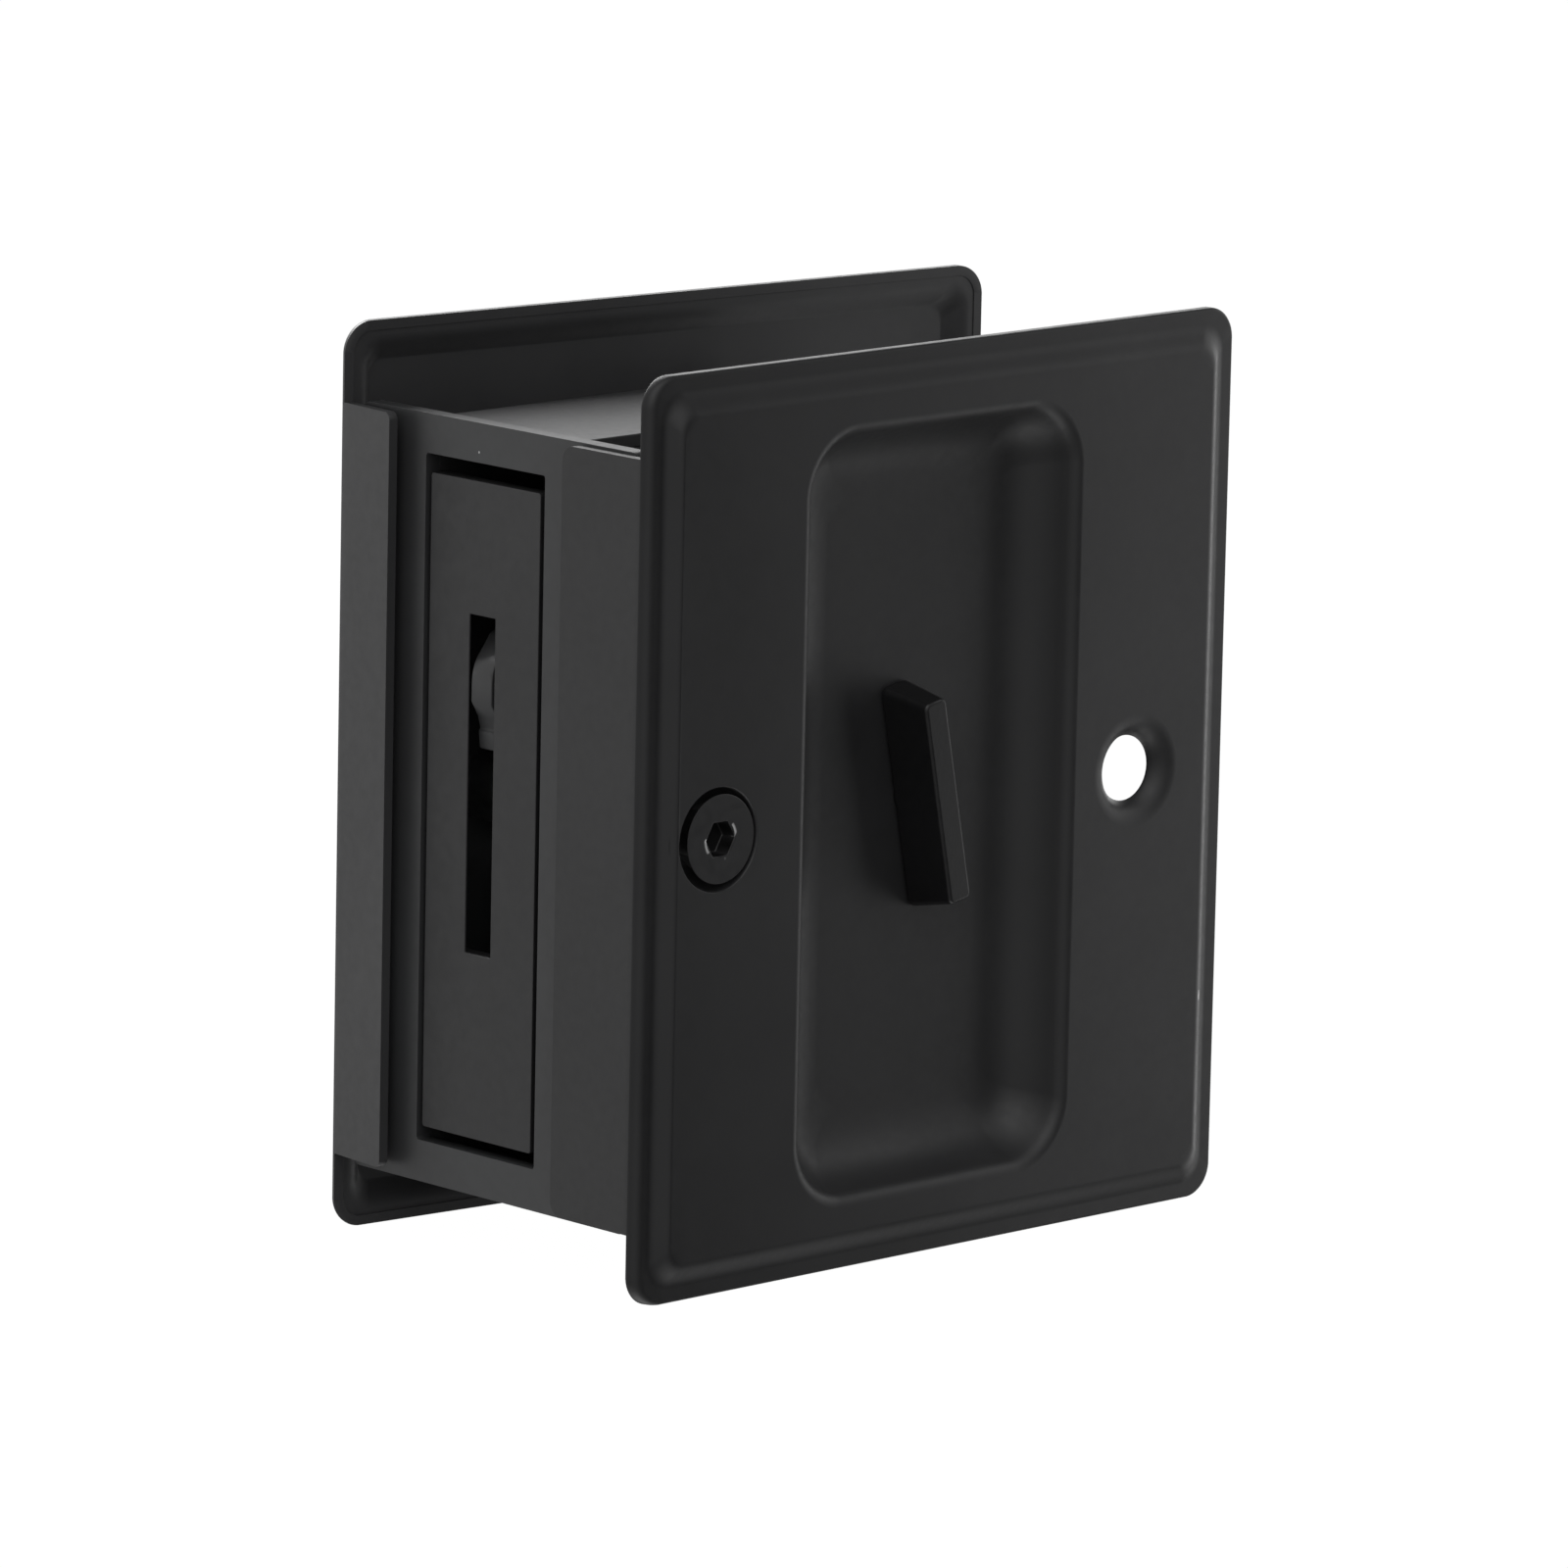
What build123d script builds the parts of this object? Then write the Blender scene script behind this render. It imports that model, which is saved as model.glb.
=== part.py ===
from build123d import *
import math
import os

# Millimetres, +Z up. x runs into the door from its edge, y runs from the turn's side of the door
# to the other side, and z = 0 is the covers' lower edge.

# Covers
cover_height = 82.55
cover_width = 72.4
cover_corner = 2.9
sheet = 0.9
field_rise = 1.3
shoulder = 3.6
rim_land = 0.8
door_gap = 38.6
back_lean = 6.0
mid_height = cover_height / 2
field_face = sheet + field_rise
fit = 0.05
edge_break = 0.25

# Case face, the strip on the door's edge, shorter than the covers
face_margin = 6.525
case_sag = 0.395
case_face_height = cover_height - 2 * face_margin
face_middle = mid_height - case_sag
face_bottom = face_middle - case_face_height / 2
face_top = face_middle + case_face_height / 2
case_face_x = 1.2
case_face_sheet = 1.6
case_face_front = 1.3
case_face_back = 37.5
face_corner = 1.0
window_front = 13.39
window_back = 28.93
window_bottom = face_bottom + 3.79
window_top = face_top - 3.57
window_corner = 0.25

# Folded tabs
front_tab_depth = 9.9
front_tab_inset = 0.35
front_tab_sag = 0.275
front_tab_corner = 2.0
back_tab_depth = 6.9
back_tab_inset = 0.55
back_tab_sag = 0.075
back_tab_corner = 1.5
fold_radius = 0.7

# Cup in the front cover
cup_left = 19.1
cup_width = 33.9
cup_end_margin = 5.075
cup_height = cover_height - 2 * cup_end_margin
cup_corner = 5.8
cup_floor = 3.0
cup_draft = 0.7
cup_lip_radius = 1.2
cup_floor_radius = 2.6
turn_x = cup_left + 17.1
turn_z = mid_height

# Screws and their seats; each screw leans to one side of its hole
screw_x = 8.5
open_hole_x = 60.6
seat_mouth = 4.6
seat_shift = 0.3
open_seat_mouth = 6.7
open_seat_depth = 2.35
cover_hole = 3.0
screw_head = 4.05
screw_shank = 2.05
head_face = 2.1
head_height = 2.1
head_slope = head_height / (screw_head - screw_shank)
head_in_hole = cover_hole - seat_shift - fit
seat_depth = field_face - head_face + (screw_head - head_in_hole) * head_slope
hex_across_flats = 3.0
hex_depth = 1.6
front_screw_length = 19.0
back_screw_length = 15.5
sleeve_outer = 3.0
sleeve_front = 5.0
sleeve_back = door_gap - 5.6

# Case
case_front = 12.15
case_back = 30.15
case_sheet = 1.2
cam_across_flats = 12.4
leaf_gap = 0.25
leaf_bow = 3.75
leaf_sheet = 0.4
leaf_crown = turn_x + cam_across_flats / 2 + leaf_gap
leaf_foot = leaf_crown + leaf_bow
case_depth = leaf_foot + leaf_sheet + case_sheet
case_top = face_top - 0.63
case_bottom = face_bottom + 0.62
case_bend = 2.0
case_rear_of_face = case_face_x + case_face_sheet
cheek_front_inner = case_front + case_sheet
cheek_back_inner = case_back - case_sheet

# Hook bolt and its toothed sector, both drawn about the bolt's pivot
pivot_x = 14.0
pivot_z = turn_z - 6.875
pivot_radius = 2.5
pivot_proud = 0.4
hook_front = 20.1
hook_back = 22.5
hook_boss = 6.0
arm_inner = 12.3
arm_outer = 17.2
arm_start = 24.0
sector_back = 24.5
tooth_module = 1.5
bolt_teeth = 17
hub_teeth = 14
cut_teeth = 5
backlash = 0.36
addendum = 0.9
dedendum = 1.15
sector_start = -70.0
sector_end = 30.0
bushing_room = 0.4
sleeve_slot_lead = 76.0
sleeve_slot_arc = 100.0
spacer_wall = 1.2

# Edge pull
pull_front = 14.1
pull_back = 28.46
pull_bottom = window_bottom + 1.23
pull_top = window_top - 1.69
pull_face = 1.4
pull_sheet = 1.5
pull_corner = 0.3
slot_centre = (hook_front + hook_back) / 2
slot_width = 3.0
slot_bottom = pivot_z - 6.5
slot_top = pivot_z + 24.0
pull_pin_x = 7.0
pull_pin_z = pull_bottom + 8.6
pull_pin_radius = 1.25
pull_pin_proud = 0.3
ear_sheet = 1.2
ear_inset = 0.2
ear_radius = 3.0
ear_foot = 5.0

# Hub and turn
hub_journal = 5.0
hub_proud = 0.4
hub_sector_start = 184.0
hub_sector_arc = 116.0
hub_shoulder = 6.0
hub_gear_front = 22.8
hub_gear_back = 24.2
hub_end_gap = 0.2
cam_front = 15.6
cam_back = 19.4
cam_corner = 2.6
spindle_across = 4.0
spindle_gap = 0.15
turn_lean = 11.4
turn_length = 18.9
turn_base_length = 20.8
turn_thickness = 2.6
turn_base_thickness = 3.45
turn_face = 2.3
turn_floor_gap = 0.3
turn_base_corner = 0.8
turn_corner = 0.6
turn_edge = 0.35
turn_neck = 1.65
turn_stud = 1.1
turn_stud_length = 3.0
washer_sheet = 0.6
collar_height = 2.4
collar_radius = 6.4
washer_radius = 7.4
stack_gap = 0.1
washer_front = cup_floor + sheet + stack_gap
collar_front = washer_front + washer_sheet + stack_gap
collar_back = collar_front + collar_height
tip_radius = 4.0
tip_hole = 4.8
tip_end = door_gap + 2.4
tip_length = 5.0
tip_engage = 2.0
coin_slot_width = 1.6
coin_slot_depth = 1.8

os.makedirs("parts", exist_ok=True)


def seen_from_front(y):
    return Plane(origin=(0, y, 0), x_dir=(1, 0, 0), z_dir=(0, -1, 0))


def save(solid, name):
    solid.label = name
    export_step(solid, f"parts/{name}.step")


def polar(radius, angle):
    return (radius * math.cos(math.radians(angle)), radius * math.sin(math.radians(angle)))


# Pressed cover plate: a flat rim on the door, a soft shoulder, a flat field, a folded edge tab
def pressed_plate(door_plane, tab_depth, tab_height, tab_shift, tab_corner):
    outward = Axis(door_plane.origin, door_plane.z_dir)
    with BuildPart() as plate:
        with BuildSketch(door_plane):
            RectangleRounded(cover_width, cover_height, cover_corner)
        extrude(amount=sheet)
        with BuildSketch(door_plane.offset(sheet)):
            RectangleRounded(cover_width, cover_height, cover_corner)
        with BuildSketch(door_plane.offset(field_face)):
            RectangleRounded(cover_width - 2 * shoulder, cover_height - 2 * shoulder, cover_corner)
        loft(ruled=True)
        fillet(plate.faces().sort_by(outward)[-1].edges(), field_rise)
        with BuildSketch(door_plane):
            RectangleRounded(cover_width - 2 * rim_land, cover_height - 2 * rim_land, cover_corner)
        with BuildSketch(door_plane.offset(field_rise)):
            inner = shoulder + rim_land / 2
            RectangleRounded(cover_width - 2 * inner, cover_height - 2 * inner, cover_corner)
        loft(ruled=True, mode=Mode.SUBTRACT)
        tab_plane = Plane(
            origin=door_plane.from_local_coords(Vector(-cover_width / 2, 0, 0)),
            x_dir=door_plane.z_dir,
            z_dir=door_plane.x_dir,
        )
        up = tab_plane.to_local_coords(door_plane.origin + Vector(0, 0, tab_shift)).Y
        with BuildSketch(tab_plane) as tab_sketch:
            with Locations((sheet, up)):
                Rectangle(sheet + tab_depth, tab_height, align=(Align.MAX, Align.CENTER))
            fillet(tab_sketch.vertices().group_by(Axis.X)[0], tab_corner)
        extrude(amount=sheet)
        outside = plate.edges().filter_by(Axis.Z).group_by(Axis(door_plane.origin, door_plane.x_dir))[0]
        fillet(outside.group_by(outward)[-1], fold_radius)
    return plate.part


front_plane = Plane(origin=(cover_width / 2, 0, mid_height), x_dir=(1, 0, 0), z_dir=(0, -1, 0))
lean_cos = math.cos(math.radians(back_lean))
lean_sin = math.sin(math.radians(back_lean))
back_plane = Plane(
    origin=(cover_width / 2 * lean_cos, door_gap - cover_width / 2 * lean_sin, mid_height),
    x_dir=(lean_cos, -lean_sin, 0),
    z_dir=(lean_sin, lean_cos, 0),
)


# Pressed screw seats: the sheet is drawn in to a cone with a hole at its bottom
def seat(cover_plane, along, mouth, depth, hole, mode, skin):
    with Locations(cover_plane.offset(field_face - skin)):
        with Locations((along - cover_width / 2, 0, 0)):
            Cone(
                hole,
                mouth,
                depth,
                align=(Align.CENTER, Align.CENTER, Align.MAX),
                mode=mode,
            )


def seats_added(cover_plane):
    back_of_hole = cover_hole + sheet
    seat(cover_plane, seat_x, seat_mouth + sheet / 2, seat_depth, back_of_hole, Mode.ADD, sheet)
    seat(cover_plane, open_hole_x, open_seat_mouth, open_seat_depth, back_of_hole, Mode.ADD, sheet)


def seats_cut(cover_plane):
    seat(cover_plane, seat_x, seat_mouth, seat_depth, cover_hole, Mode.SUBTRACT, 0)
    seat(cover_plane, open_hole_x, open_seat_mouth, open_seat_depth, cover_hole, Mode.SUBTRACT, 0)


seat_x = screw_x - seat_shift
front_tab_height = case_face_height - 2 * front_tab_inset
front_plate = pressed_plate(
    front_plane, front_tab_depth, front_tab_height, -front_tab_sag, front_tab_corner
)
with BuildPart() as front_cover:
    add(front_plate)
    seats_added(front_plane)
    cup_x = cup_left + cup_width / 2 - cover_width / 2
    with BuildSketch(front_plane.offset(field_face - sheet)):
        with Locations((cup_x, 0)):
            RectangleRounded(cup_width + 2 * sheet, cup_height + 2 * sheet, cup_corner + sheet)
    with BuildSketch(front_plane.offset(-cup_floor - sheet)):
        with Locations((cup_x, 0)):
            RectangleRounded(
                cup_width + 2 * (sheet - cup_draft),
                cup_height + 2 * (sheet - cup_draft),
                cup_corner + sheet - cup_draft,
            )
    loft(ruled=True)
    cup_back = front_cover.faces().sort_by(Axis.Y)[-1]
    if cup_back.center().X > sheet:
        fillet(cup_back.edges(), cup_floor_radius + sheet)
    with BuildSketch(front_plane.offset(field_face)):
        with Locations((cup_x, 0)):
            RectangleRounded(cup_width, cup_height, cup_corner)
    with BuildSketch(front_plane.offset(-cup_floor)):
        with Locations((cup_x, 0)):
            RectangleRounded(
                cup_width - 2 * cup_draft,
                cup_height - 2 * cup_draft,
                cup_corner - cup_draft,
            )
    loft(ruled=True, mode=Mode.SUBTRACT)
    floor_faces = front_cover.faces().filter_by(Axis.Y)
    cup_floor_face = [f for f in floor_faces if abs(f.center().Y - cup_floor) < fit][0]
    fillet(cup_floor_face.edges(), cup_floor_radius)
    field = [f for f in front_cover.faces().filter_by(Axis.Y) if abs(f.center().Y + field_face) < fit][0]
    fillet(field.inner_wires()[0].edges(), cup_lip_radius)
    seats_cut(front_plane)
    with BuildSketch(front_plane):
        with Locations((seat_x - cover_width / 2, 0), (open_hole_x - cover_width / 2, 0)):
            Circle(cover_hole)
        with Locations((turn_x - cover_width / 2, 0)):
            Circle(turn_neck + fit)
    extrude(amount=field_face + cup_floor, both=True, mode=Mode.SUBTRACT)
save(front_cover.part, "front_cover")

back_tab_height = case_face_height - 2 * back_tab_inset
back_plate = pressed_plate(
    back_plane, back_tab_depth, back_tab_height, -back_tab_sag, back_tab_corner
)
with BuildPart() as back_cover:
    add(back_plate)
    seats_added(back_plane)
    seats_cut(back_plane)
    with BuildSketch(back_plane):
        with Locations((seat_x - cover_width / 2, 0), (open_hole_x - cover_width / 2, 0)):
            Circle(cover_hole)
        with Locations((turn_x - cover_width / 2, 0)):
            Circle(tip_hole)
    extrude(amount=field_face + cup_floor, both=True, mode=Mode.SUBTRACT)
save(back_cover.part, "back_cover")


# Case face: the flat strip on the door's edge, with the window
with BuildPart() as face_plate:
    with BuildSketch(Plane(origin=(case_face_x, 0, 0), x_dir=(0, 1, 0), z_dir=(1, 0, 0))):
        with Locations(((case_face_front + case_face_back) / 2, face_middle)):
            RectangleRounded(case_face_back - case_face_front, case_face_height, face_corner)
        with Locations(((window_front + window_back) / 2, (window_bottom + window_top) / 2)):
            RectangleRounded(
                window_back - window_front,
                window_top - window_bottom,
                window_corner,
                mode=Mode.SUBTRACT,
            )
    extrude(amount=case_face_sheet)
save(face_plate.part, "face_plate")

# Case wall: one strip folded into top, rear and bottom
with BuildPart() as case_wall:
    case_middle = (case_top + case_bottom) / 2
    with BuildSketch(seen_from_front(case_back)) as wall_sketch:
        with Locations((case_rear_of_face, case_middle)):
            Rectangle(
                case_depth - case_rear_of_face,
                case_top - case_bottom,
                align=(Align.MIN, Align.CENTER),
            )
        fillet(wall_sketch.vertices().group_by(Axis.X)[-1], case_bend)
        with Locations((case_rear_of_face, case_middle)):
            Rectangle(
                case_depth - case_sheet - case_rear_of_face,
                case_top - case_bottom - 2 * case_sheet,
                align=(Align.MIN, Align.CENTER),
                mode=Mode.SUBTRACT,
            )
    extrude(amount=case_back - case_front)
save(case_wall.part, "case_wall")

# Case sides: two flat plates between the walls, with the bearing holes
rivet_front_x = 6.0
rivet_middle_x = 22.0
rivet_rear_x = case_depth - 6.0
rivet_top_z = case_top - 9.0
rivet_low_z = case_bottom + 9.25
rivet_bottom_z = case_bottom + 6.75
rivet_spots = [
    (rivet_front_x, rivet_top_z),
    (rivet_rear_x, rivet_top_z),
    (rivet_rear_x, rivet_low_z),
    (rivet_middle_x, rivet_bottom_z),
]
rivet_neck = 1.5
rivet_barrel = 2.5
rivet_head = 2.4
rivet_head_height = 0.6


def case_side(inner_y, outer_y):
    with BuildPart() as side:
        with BuildSketch(seen_from_front(max(inner_y, outer_y))):
            with Locations((case_rear_of_face, (case_top + case_bottom) / 2)):
                Rectangle(
                    case_depth - case_sheet - case_rear_of_face,
                    case_top - case_bottom - 2 * case_sheet,
                    align=(Align.MIN, Align.CENTER),
                )
            with Locations((turn_x, turn_z)):
                Circle(hub_journal + fit, mode=Mode.SUBTRACT)
            with Locations((pivot_x, pivot_z)):
                Circle(pivot_radius, mode=Mode.SUBTRACT)
            with Locations((pull_pin_x, pull_pin_z)):
                Circle(pull_pin_radius, mode=Mode.SUBTRACT)
            with Locations((screw_x, turn_z)):
                Circle(sleeve_outer, mode=Mode.SUBTRACT)
            with Locations(*rivet_spots):
                Circle(rivet_neck, mode=Mode.SUBTRACT)
        extrude(amount=case_sheet)
    return side.part


save(case_side(cheek_front_inner, case_front), "case_side_front")
save(case_side(cheek_back_inner, case_back), "case_side_back")

# Shouldered rivets that space and hold the two sides
with BuildPart() as case_rivets:
    with BuildSketch(seen_from_front(cheek_back_inner)):
        with Locations(*rivet_spots):
            Circle(rivet_barrel)
    extrude(amount=cheek_back_inner - cheek_front_inner)
    with BuildSketch(seen_from_front(case_back)):
        with Locations(*rivet_spots):
            Circle(rivet_neck)
    extrude(amount=case_back - case_front)
    with BuildSketch(seen_from_front(case_front)):
        with Locations(*rivet_spots):
            Circle(rivet_head)
    extrude(amount=rivet_head_height)
    with BuildSketch(seen_from_front(case_back)):
        with Locations(*rivet_spots):
            Circle(rivet_head)
    extrude(amount=-rivet_head_height)
    heads = case_rivets.faces().filter_by(Axis.Y)
    fillet(heads.group_by(Axis.Y)[0].edges(), rivet_head_height / 2)
    fillet(heads.group_by(Axis.Y)[-1].edges(), rivet_head_height / 2)
save(case_rivets.part, "case_rivets")

# Sleeve: a tube through the case, tapped at both ends for the cover screws
with BuildPart() as sleeve:
    with BuildSketch(seen_from_front(sleeve_back)):
        with Locations((screw_x, turn_z)):
            Circle(sleeve_outer)
            Circle(screw_shank + fit, mode=Mode.SUBTRACT)
    extrude(amount=sleeve_back - sleeve_front)
    chamfer(sleeve.edges().filter_by(GeomType.CIRCLE).group_by(Axis.Y)[0], edge_break)
    chamfer(sleeve.edges().filter_by(GeomType.CIRCLE).group_by(Axis.Y)[-1], edge_break)
save(sleeve.part, "sleeve")


# Countersunk cover screw with a hex socket
def cover_screw(outer_y, outward, length):
    head_plane = Plane(origin=(screw_x, outer_y, turn_z), x_dir=(1, 0, 0), z_dir=(0, outward, 0))
    with BuildPart() as screw:
        with BuildSketch(head_plane):
            Circle(screw_head)
        with BuildSketch(head_plane.offset(-head_height)):
            Circle(screw_shank)
        loft(ruled=True)
        with BuildSketch(head_plane.offset(-head_height)):
            Circle(screw_shank)
        extrude(amount=-(length - head_height))
        with BuildSketch(head_plane):
            RegularPolygon(hex_across_flats / 2, 6, major_radius=False)
        extrude(amount=-hex_depth, mode=Mode.SUBTRACT)
        tip = screw.faces().filter_by(Axis.Y).sort_by(Axis(head_plane.origin, head_plane.z_dir))[0]
        chamfer(tip.edges(), 2 * edge_break)
    return screw.part


save(cover_screw(-head_face, -1, front_screw_length), "cover_screw_front")
save(cover_screw(door_gap + head_face, 1, back_screw_length), "cover_screw_back")

# Edge pull: a flat plate with the bolt's slot and two pivot ears folded back
with BuildPart() as edge_pull:
    pull_middle = (pull_top + pull_bottom) / 2
    with BuildSketch(Plane(origin=(pull_face, 0, 0), x_dir=(0, 1, 0), z_dir=(1, 0, 0))):
        with Locations(((pull_front + pull_back) / 2, pull_middle)):
            RectangleRounded(pull_back - pull_front, pull_top - pull_bottom, pull_corner)
        with Locations((slot_centre, (slot_top + slot_bottom) / 2)):
            Rectangle(slot_width, slot_top - slot_bottom, mode=Mode.SUBTRACT)
    extrude(amount=pull_sheet)
    for ear_back in (pull_front + ear_inset + ear_sheet, pull_back - ear_inset):
        with BuildSketch(seen_from_front(ear_back)):
            with Locations((pull_pin_x, pull_pin_z)):
                Circle(ear_radius)
            with BuildLine():
                Polyline(
                    (pull_face + pull_sheet / 2, pull_pin_z - ear_foot),
                    (pull_pin_x, pull_pin_z - ear_radius),
                    (pull_pin_x, pull_pin_z + ear_radius),
                    (pull_face + pull_sheet / 2, pull_pin_z + ear_foot),
                    close=True,
                )
            make_face()
            with Locations((pull_pin_x, pull_pin_z)):
                Circle(pull_pin_radius + fit, mode=Mode.SUBTRACT)
        extrude(amount=ear_sheet)
save(edge_pull.part, "edge_pull")

# Pin of the edge pull, through both case sides
with BuildPart() as pull_pin:
    with BuildSketch(seen_from_front(case_back + pull_pin_proud)):
        with Locations((pull_pin_x, pull_pin_z)):
            Circle(pull_pin_radius)
    extrude(amount=case_back - case_front + 2 * pull_pin_proud)
    chamfer(pull_pin.edges().filter_by(GeomType.CIRCLE), edge_break)
save(pull_pin.part, "pull_pin")

# Torsion spring round the pull's pin, one leg behind the plate and one into the case
spring_wire = 0.35
spring_coil = 1.95
spring_front = pull_front + 2.1
spring_pitch = 0.95
spring_turns = 3.0
spring_front_leg = 3.4
spring_rear_leg = 5.0
with BuildPart() as pull_spring:
    with BuildLine() as spring_path:
        coil = Helix(
            spring_pitch,
            spring_pitch * spring_turns,
            spring_coil,
            center=(pull_pin_x, spring_front, pull_pin_z),
            direction=(0, 1, 0),
        )
        first_leg = Line(coil @ 0 - (coil % 0) * spring_front_leg, coil @ 0)
        Line(coil @ 1, coil @ 1 + (coil % 1) * spring_rear_leg)
    with BuildSketch(Plane(origin=first_leg @ 0, z_dir=first_leg % 0)):
        Circle(spring_wire)
    sweep(path=spring_path.wires()[0], transition=Transition.ROUND)
save(pull_spring.part, "pull_spring")


# Involute teeth about a centre, on one seen-from-front sketch
def tooth(teeth, angle):
    pitch_radius = tooth_module * teeth / 2
    base = pitch_radius * math.cos(math.radians(20))
    root = pitch_radius - dedendum * tooth_module
    top = pitch_radius + addendum * tooth_module

    def spread(radius):
        if radius <= base:
            return 0.0
        roll = math.sqrt((radius / base) ** 2 - 1)
        return math.degrees(roll - math.atan(roll))

    half = 90 / teeth - math.degrees(backlash / 4 / pitch_radius)
    radii = [root - 0.6, max(base, root), pitch_radius - 0.4, pitch_radius, pitch_radius + 0.7, top]
    right = [polar(r, angle - half - spread(pitch_radius) + spread(r)) for r in radii]
    left = [polar(r, angle + half + spread(pitch_radius) - spread(r)) for r in reversed(radii)]
    with BuildLine() as flanks:
        Polyline(*right, *left, close=True)
    make_face(flanks.edges())


bolt_pitch_radius = tooth_module * bolt_teeth / 2
hub_pitch_radius = tooth_module * hub_teeth / 2
mesh_angle = math.degrees(math.atan2(turn_z - pivot_z, turn_x - pivot_x))


def front_plane_at(x, z, y):
    return Plane(origin=(x, y, z), x_dir=(1, 0, 0), z_dir=(0, -1, 0))


# Bearing holes for the pivot, and room for the sleeve over the whole throw
def bolt_holes():
    Circle(pivot_radius + fit, mode=Mode.SUBTRACT)
    with BuildLine():
        path = CenterArc(
            (0, 0),
            math.hypot(screw_x - pivot_x, turn_z - pivot_z),
            math.degrees(math.atan2(turn_z - pivot_z, screw_x - pivot_x)) - sleeve_slot_lead,
            sleeve_slot_arc,
            mode=Mode.PRIVATE,
        )
    SlotArc(path, 2 * (sleeve_outer + bushing_room), mode=Mode.SUBTRACT)
    with Locations(*sector_rivet_spots):
        Circle(sector_rivet_neck, mode=Mode.SUBTRACT)


sector_rivet_neck = 1.2
sector_rivet_ring = 8.2
sector_rivet_spots = [polar(sector_rivet_ring, -52), polar(sector_rivet_ring, 2)]
sector_rivet_head = sector_rivet_neck + 0.6
sector_head_height = 0.5

# The hook's outline, from its neck over the crown to the nose and back under it
arm_end = 78.0
hook_neck = (-3.4, 20.6)
hook_crown = (-8.2, 22.9)
hook_brow = (-10.1, 21.9)
hook_cheek = (-11.6, 19.8)
nose_top = (-12.0, 17.4)
nose_bottom = (-12.0, 16.2)
throat = [(-11.2, 14.8), (-10.9, 13.7), (-11.1, 13.5)]
hook_end_x = -10.9
hook_end_z = 11.85
web_radius = 11.0
web_start = -66.0
gusset_radius = 9.0
hook_end_angle = math.degrees(math.acos(hook_end_z / arm_inner)) + 90

# Hook bolt: a flat plate that arches over the sleeve and ends in the hook
with BuildPart() as hook_bolt:
    with BuildSketch(front_plane_at(pivot_x, pivot_z, hook_back)) as hook_sketch:
        with BuildLine():
            CenterArc((0, 0), arm_outer, arm_start, arm_end - arm_start)
            Spline(
                polar(arm_outer, arm_end),
                hook_neck,
                hook_crown,
                hook_brow,
                tangents=((-1, 0.35), (-0.6, -1)),
            )
            Spline(hook_brow, hook_cheek, nose_top, tangents=((-0.6, -1), (0, -1)))
            Polyline(
                nose_top,
                nose_bottom,
                *throat,
                (hook_end_x, hook_end_z),
                polar(arm_inner, hook_end_angle),
            )
            CenterArc((0, 0), arm_inner, hook_end_angle, arm_start - hook_end_angle)
            Line(polar(arm_inner, arm_start), polar(arm_outer, arm_start))
        make_face()
        Circle(hook_boss)
        with BuildLine():
            CenterArc((0, 0), web_radius, web_start, arm_start - web_start)
            Line(polar(web_radius, arm_start), (0, 0))
            Line((0, 0), polar(web_radius, web_start))
        make_face()
        with BuildLine():
            Polyline(
                polar(gusset_radius, arm_start - 18),
                polar(arm_outer, arm_start - 3),
                polar(arm_outer, arm_start),
                polar(arm_inner, arm_start + 4),
                polar(gusset_radius, arm_start),
                close=True,
            )
        make_face()
        bolt_holes()
    extrude(amount=hook_back - hook_front)
save(hook_bolt.part, "hook_bolt")

# Toothed sector riveted to the hook bolt
with BuildPart() as bolt_sector:
    with BuildSketch(front_plane_at(pivot_x, pivot_z, sector_back)):
        Circle(hook_boss)
        with BuildLine():
            rim = bolt_pitch_radius - dedendum * tooth_module
            CenterArc((0, 0), rim, sector_start, sector_end - sector_start)
            Line(polar(rim, sector_end), (0, 0))
            Line((0, 0), polar(rim, sector_start))
        make_face()
        for k in range(cut_teeth):
            tooth(bolt_teeth, mesh_angle - k * 360 / bolt_teeth)
        bolt_holes()
    extrude(amount=sector_back - hook_back)
save(bolt_sector.part, "bolt_sector")

with BuildPart() as sector_rivets:
    with BuildSketch(front_plane_at(pivot_x, pivot_z, sector_back)):
        with Locations(*sector_rivet_spots):
            Circle(sector_rivet_neck)
    extrude(amount=sector_back - hook_front)
    with BuildSketch(front_plane_at(pivot_x, pivot_z, hook_front)):
        with Locations(*sector_rivet_spots):
            Circle(sector_rivet_head)
    extrude(amount=sector_head_height)
    with BuildSketch(front_plane_at(pivot_x, pivot_z, sector_back)):
        with Locations(*sector_rivet_spots):
            Circle(sector_rivet_head)
    extrude(amount=-sector_head_height)
save(sector_rivets.part, "sector_rivets")

# Pivot pin of the hook bolt, and the tubes that keep the bolt in its layer
with BuildPart() as bolt_pivot:
    with BuildSketch(front_plane_at(pivot_x, pivot_z, case_back + pivot_proud)):
        Circle(pivot_radius)
    extrude(amount=case_back - case_front + 2 * pivot_proud)
    chamfer(bolt_pivot.edges().filter_by(GeomType.CIRCLE), edge_break)
save(bolt_pivot.part, "bolt_pivot")

with BuildPart() as pivot_spacers:
    for back_y, front_y in (
        (hook_front - hub_end_gap, cheek_front_inner),
        (cheek_back_inner, sector_back + hub_end_gap),
    ):
        with BuildSketch(front_plane_at(pivot_x, pivot_z, back_y)):
            Circle(pivot_radius + spacer_wall)
            Circle(pivot_radius, mode=Mode.SUBTRACT)
        extrude(amount=back_y - front_y)
save(pivot_spacers.part, "pivot_spacers")

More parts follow.
